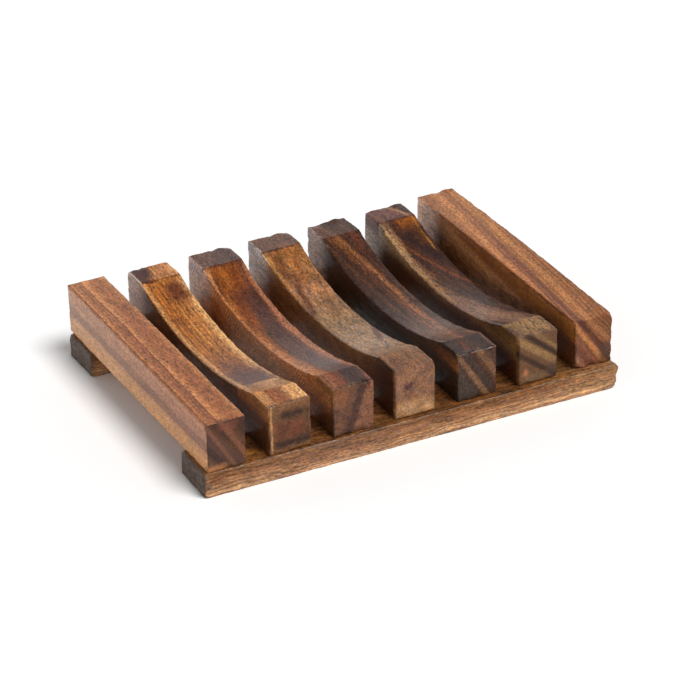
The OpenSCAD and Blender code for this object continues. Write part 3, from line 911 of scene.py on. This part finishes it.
# Third scooped slat: pale pinkish-brown wood, golden and flecked towards the back, with a few dark
# slanting veins and a small knot in its front end. It was left wide at its back right corner too.
scooped_slat(
    3, "amber_slat_wood", seed=5, front_land=9.57, back_land=7.9, depth=5.97,
    trim=(0.0, 0.0, 0.27, 0.4),
    knocks=(
        ((6.5, SLAT_LENGTH, SLAT_TOP), 1.1, (0, 0, -0.2)),
        ((9, SLAT_LENGTH, SLAT_TOP), 1.6, (0, 0.1, 0.15)),
        ((SLAT_WIDTH, SLAT_LENGTH, SLAT_TOP), 2, (-0.1, -0.15, -0.3)),
        ((SLAT_WIDTH, 79, SLAT_TOP), 13, (0.6, 0, 0)),
        ((SLAT_WIDTH, 0, SLAT_TOP), 1.2, (-0.2, 0.2, -0.2)),
    ),
    tilt=(0.3, 1.0, 0.0), wobble=2.2, stain=(1.02, 0.98, 0.98),
    layers=(
        (0, "86542f"), (4, "8a5a38"), (10, "8c6240"), (18, "94704c"), (28, "9c7854"),
        (36, "92704e"), (44, "886640"), (50, "966e48"), (56, "966c46"), (61, "a87650"),
        (66, "94643a"), (72, "a26e3c"), (77, "9c6430"), (88, "8a541c"),
    ),
    marks=(
        mark("5e2c0c", (3, 70.5, 12), (1.4, 5, 4), (1.2, 2.6, 1), lean=-0.08, strength=0.7, ragged=0.8),
        mark("84420c", (7, 68, 12), (1, 6, 4), (1.4, 4, 1), lean=-0.1, strength=0.6, ragged=0.9),
        mark("602c10", (2.6, 56, 9), (0.9, 9.5, 4), (0.9, 3, 1), lean=-0.15, strength=0.8, ragged=0.6),
        mark("744620", (8.2, 52, 9), (1.2, 8, 4), (1.6, 6, 1), lean=-0.12, strength=0.5, ragged=1.2),
        mark("a87840", (0.8, 71, 12), (0.5, 6, 4), (0.5, 2, 1), strength=0.8),
        mark("b08868", (7.6, 36.2, 8), (1, 1.2, 4), (0.6, 0.8, 1), strength=0.7),
        mark("5a3428", (10.4, 29.4, 9), (0.9, 4.6, 4), (0.7, 1.6, 1), lean=-0.3, strength=0.9),
        mark("7c3420", (9.4, 25, 9), (0.28, 1.8, 4), (0.25, 0.6, 1), lean=-0.4),
        mark("5c3a26", (7.4, 18.4, 11), (0.16, 4.4, 4), (0.2, 1.2, 1), lean=-0.42),
        mark("6a4a3c", (5.85, 81.2, SLAT_TOP), (7, 4.2, 4), (0.4, 0.25, 1.5), strength=0.9),
        mark("5c3a2a", (1.8, 80, SLAT_TOP), (1.8, 3.4, 2), (1, 1, 1), lean=-0.1, strength=0.5),
        mark("7a4e2c", (5.85, 4.2, SLAT_TOP), (7, 4.6, 0.8), (0.4, 2, 0.6), strength=0.8),
        mark("3c1c1c", (11.3, 0, 13.7), (0.6, 1, 0.6), (0.4, 0.6, 0.4)),
        mark("764a1e", (0, 42, 4.5), (0.5, 60, 6.5), (0.3, 4, 3), strength=0.85),
        mark("321808", (0, 5, 8), (0.5, 8, 9), (0.3, 6, 1), strength=0.9),
        mark("744832", (0, 0, 12), (2, 1.2, 2.5), (1.5, 0.8, 1.5), strength=0.5),
        mark("8c6246", (5.8, 0, 9.5), (8, 1.2, 5), (2, 0.8, 2), ragged=0.2),
        mark("34141c", (3.7, 0, 9), (1.1, 1.2, 0.9), (1.1, 0.8, 0.9), ragged=0.3),
        mark("6a4034", (4.6, 0, 7.6), (0.5, 1.2, 3), (0.7, 0.8, 1.2), slant=0.5, strength=0.6),
        mark("b88c60", (5.8, 0, 1.6), (8, 1.2, 2.6), (2, 0.8, 1.6), strength=0.9),
        # A painted reflection: pale glare on the back of the left side
        mark("c6bcb4", (0, 82, 10), (0.4, 8, 9), (0.3, 3, 2), strength=0.9, ragged=0.3),
    ),
    edge_tint=(0.55, 0.48, 0.44), grain=0.3, cloud=0.4, hue=0.34, ribs=0.4,
)

# Fourth scooped slat: nearly black heartwood, in which two tan layers arch along the scoop and come
# down across the front end. Its top edge is dented at the back, on the left.
scooped_slat(
    4, "dark_slat_wood", seed=6, front_land=8.42, back_land=8.82, depth=6.1,
    trim=(0.09, -0.09, 0.12, 0.1),
    knocks=(
        ((2.2, SLAT_LENGTH, SLAT_TOP), 2.8, (0, 0, -0.3)),
        ((8.2, SLAT_LENGTH, SLAT_TOP), 2.2, (0, 0.15, 0.3)),
        ((SLAT_WIDTH, 78, SLAT_TOP), 12, (0.25, 0, 0)),
        ((0, SLAT_LENGTH, 10), 1.2, (0.2, 0, 0)),
        ((0, SLAT_LENGTH, 5), 1.4, (0.2, 0, 0)),
        ((6, 0, 0), 1.2, (0, 0.15, 0.2)),
        ((2, 0, 0), 1, (0, 0.15, 0.2)),
    ),
    tilt=(1.0, 0.0, 0.64), sweep=2.7, wobble=0.45, stain=(1.18, 1.03, 0.96),
    layers=(
        (0, "34200f"), (3, "3c2410"), (6.4, "361c10"), (7.7, "38200f"), (9, "4a2c18"),
        (9.7, "381e10"), (10.6, "3c2210"), (11, "543014"), (11.4, "442410"), (12, "643c20"),
        (12.5, "4c2a14"), (13, "74482a"), (13.6, "885a34"), (14.2, "744826"), (14.9, "482a18"),
        (15.4, "3a2010"), (16.2, "4c2e1a"), (16.8, "3a1e0e"), (18.4, "40241a"), (19, "503222"),
        (19.6, "3a1e10"), (21, "3c2414"),
    ),
    marks=(
        mark("6c4418", (5, 70.5, 12), (0.9, 5, 4), (1, 2, 1), lean=0.42, strength=0.7, ragged=0.6),
        mark("5c3018", (9.6, 73, 12), (1.4, 4, 4), (1.5, 2.6, 1), strength=0.7, ragged=0.7),
        mark("84562e", (5.4, 19, 10), (4.6, 8, 4), (3, 8, 1), strength=0.35, ragged=0.9),
        mark("7c5436", (10.4, 12, 12.5), (0.8, 3.4, 4), (0.8, 1.8, 1), strength=0.8),
        mark("483020", (6, 80.6, SLAT_TOP), (7, 4.4, 2), (0.4, 0.3, 1), strength=0.7),
        mark("5a3420", (1.4, 81, SLAT_TOP), (1.2, 4, 1.6), (1, 0.6, 0.8), strength=0.7),
        mark("2a1810", (5.85, 4.2, SLAT_TOP), (7, 4.1, 0.7), (0.4, 0.3, 0.5), strength=0.85),
        mark("5c3018", (4.6, 4.4, SLAT_TOP), (1, 3.4, 0.7), (1.1, 1, 0.5), strength=0.8, ragged=0.7),
        mark("6e4426", (11.2, 4.4, SLAT_TOP), (0.5, 4, 0.7), (0.4, 0.5, 0.5), strength=0.7),
        # A painted highlight: a thin pale broken line along the top front edge stands in for a glint
        mark("d0c4bc", (5.85, 0, 13.9), (5.8, 0.18, 0.18), (0.6, 0.12, 0.12), strength=0.7, ragged=0.15),
        mark("3a322c", (1, 0, 4), (3.6, 1.2, 9), (1.6, 0.7, 2), slant=0.64, strength=0.8),
        mark("6e5238", (5, 0, 6.2), (0.9, 1.2, 9), (0.6, 0.7, 1), slant=0.64, ragged=0.3),
        mark("342c26", (7.4, 0, 6.2), (0.8, 1.2, 9), (0.6, 0.7, 1), slant=0.64, strength=0.8),
        mark("6c5238", (10.2, 0, 7.6), (0.8, 1.2, 9), (0.6, 0.7, 1), slant=0.64, strength=0.85),
        mark("362c24", (12, 0, 7.6), (0.9, 1.2, 9), (0.6, 0.7, 1), slant=0.64, strength=0.7),
        mark("7a4e26", (0, 4, 10.6), (0.5, 7, 1.6), (0.3, 4, 1), strength=0.9),
        # Darker low on the left side: partly the wood's own colour, partly painted shade deep in the gap
        mark("180e08", (0, 36, 3), (0.4, 40, 4), (0.3, 8, 3), strength=0.6),
        # A painted reflection: pale glare on the back of the left side
        mark("b4a8a0", (0, 82, 10), (0.4, 7, 9), (0.3, 3, 2), strength=0.8, ragged=0.3),
    ),
    end_tint=(1.1, 1.14, 1.3), edge_tint=(0.5, 0.45, 0.42), grain=0.32, specks=1.0, cloud=0.3, hue=0.26,
)

# Fifth scooped slat: dark heartwood with an orange vein slanting across the scoop, pale sapwood along
# its left edge and a wide tan layer at the front. Its back left corner is chipped.
scooped_slat(
    5, "dark_slat_wood", seed=7, front_land=9.11, back_land=7.84, depth=6.27,
    trim=(0.0, -0.05, -0.26, 0.0),
    knocks=(
        ((0, SLAT_LENGTH, SLAT_TOP), 2.4, (0.2, 0, -0.35)),
        ((7, SLAT_LENGTH, SLAT_TOP), 1.4, (0, 0, -0.2)),
        ((9.8, SLAT_LENGTH, SLAT_TOP), 1.8, (0, 0.1, 0.2)),
        ((3, 0, 0), 1.2, (0, 0.15, 0.2)),
        ((9, 0, 0), 1, (0, 0.15, 0.2)),
    ),
    tilt=(1.0, 0.0, 1.0), wobble=0.3, stain=(1.1, 1.04, 1.0),
    layers=(
        (0, "6c4a30"), (1.4, "735330"), (2.4, "4a2608"), (4, "3c1602"), (5, "4f2901"),
        (6.5, "6a4828"), (8.5, "7a542c"), (10.4, "77512c"), (11.3, "5f3a14"), (12.5, "4b2a10"),
        (13.6, "3e200e"), (14.2, "4a2a1a"), (15, "381a0c"), (16, "44261a"), (17, "361a0e"),
        (18.2, "402216"), (20, "38180c"), (26, "3c1408"),
    ),
    marks=(
        mark("74503a", (7, 12, 12), (4.2, 30, 20), (1, 5, 1), lean=0.25, ragged=0.5),
        mark("946e4c", (6.4, 14, 12), (1.3, 13, 20), (1.1, 5, 1), lean=0.2, strength=0.7),
        mark("4a2c1c", (10.4, 10, 13), (1.2, 4, 4), (0.9, 2, 1), lean=0.2, strength=0.7),
        mark("2e160c", (10.2, 28, 9.5), (0.7, 12, 4), (0.7, 4, 1), lean=0.33, strength=0.7),
        mark("5c4434", (7, 36, 9), (0.7, 14, 4), (0.9, 4, 1), lean=0.33, strength=0.6),
        mark("301c12", (5.2, 41, 9), (0.5, 12, 4), (0.6, 4, 1), lean=0.33, strength=0.7),
        mark("54301e", (6.6, 48, 9), (0.4, 10, 4), (0.7, 4, 1), lean=0.33, strength=0.6),
        mark("2c120a", (6.6, 64, 11), (4.4, 8, 4), (2, 4, 1), strength=0.9, ragged=0.8),
        mark("4c2814", (7, 59, 10), (0.9, 10, 4), (1.2, 5, 1), lean=0.37, strength=0.7),
        mark("84481e", (6.4, 57, 10), (0.4, 13, 4), (0.8, 6, 1), lean=0.37, strength=0.8),
        mark("8a4c0c", (8.4, 75.8, 13), (3.6, 2.2, 4), (1.8, 3, 1), ragged=0.7),
        mark("6a3808", (9.8, 69, 12), (1.6, 3, 4), (1.4, 3, 1), strength=0.6, ragged=0.7),
        mark("a06c2c", (10.4, 70, 12), (0.25, 7.5, 4), (0.35, 1.5, 1), strength=0.7),
        mark("8e6a46", (0.4, 56, 11), (1.8, 19, 20), (0.8, 6, 1), lean=-0.03),
        mark("a88660", (0.3, 64, 12), (0.8, 11, 4), (0.6, 3, 1), strength=0.8),
        mark("7a5048", (2.9, 55, 10), (0.25, 5, 4), (0.35, 1.5, 1), strength=0.7),
        # Darker low on the left side: partly the wood's own colour, partly painted shade deep in the gap
        mark("421804", (0, 42, 3.4), (0.5, 60, 4.2), (0.3, 6, 2.6), strength=0.9),
        mark("7e5a28", (0, 3, 11), (0.5, 8, 2), (0.3, 5, 1.6), strength=0.8),
        # A painted reflection: pale glare on the back of the left side
        mark("c4b2a4", (0, 82, 10), (0.4, 6, 9), (0.3, 3, 2), strength=0.85, ragged=0.3),
        mark("6a4238", (5, 81.2, SLAT_TOP), (7, 4.4, 4), (0.4, 0.25, 1.5), strength=0.95),
        mark("3c2a24", (11.2, 81.6, SLAT_TOP), (2.4, 4, 4), (0.6, 0.6, 1.5), lean=0.38, strength=0.9),
        mark("8c6242", (8.6, 81, SLAT_TOP), (0.6, 4.4, 1.5), (0.4, 0.4, 1), lean=0.38),
        mark("8a6636", (6.4, 4.6, SLAT_TOP), (7, 4.5, 0.8), (0.6, 0.3, 0.6), strength=0.8),
        mark("4c2a18", (0.6, 3, SLAT_TOP), (1.6, 4, 0.8), (1, 1, 0.6), lean=0.2, strength=0.8),
        mark("644428", (5.8, 0, 7), (9, 1.2, 9), (1, 0.8, 1), ragged=0.2),
        mark("8a6840", (2.6, 0, 11.4), (1.8, 1.2, 9), (0.9, 0.8, 1), slant=1.35),
        mark("80603c", (9.6, 0, 10.2), (1, 1.2, 9), (0.8, 0.8, 1), slant=1.1),
        mark("351d0c", (6.6, 0, 11), (1.1, 1.2, 9), (0.9, 0.8, 1), slant=1.2),
        mark("3a200c", (2.8, 0, 7.2), (1.2, 1.2, 9), (0.9, 0.8, 1), slant=1.3),
        mark("a66a40", (2, 0, 3.4), (0.6, 1.2, 1.1), (0.8, 0.8, 0.9)),
        mark("7c6448", (5, 0, 1.2), (3.6, 1.2, 1), (1.8, 0.8, 1.4), strength=0.8),
        mark("44342a", (11, 0, 2.4), (1.6, 1.2, 2.6), (1.2, 0.8, 1.4), strength=0.7),
    ),
    edge_tint=(0.6, 0.54, 0.48), grain=0.34, specks=0.9, cloud=0.22,
)
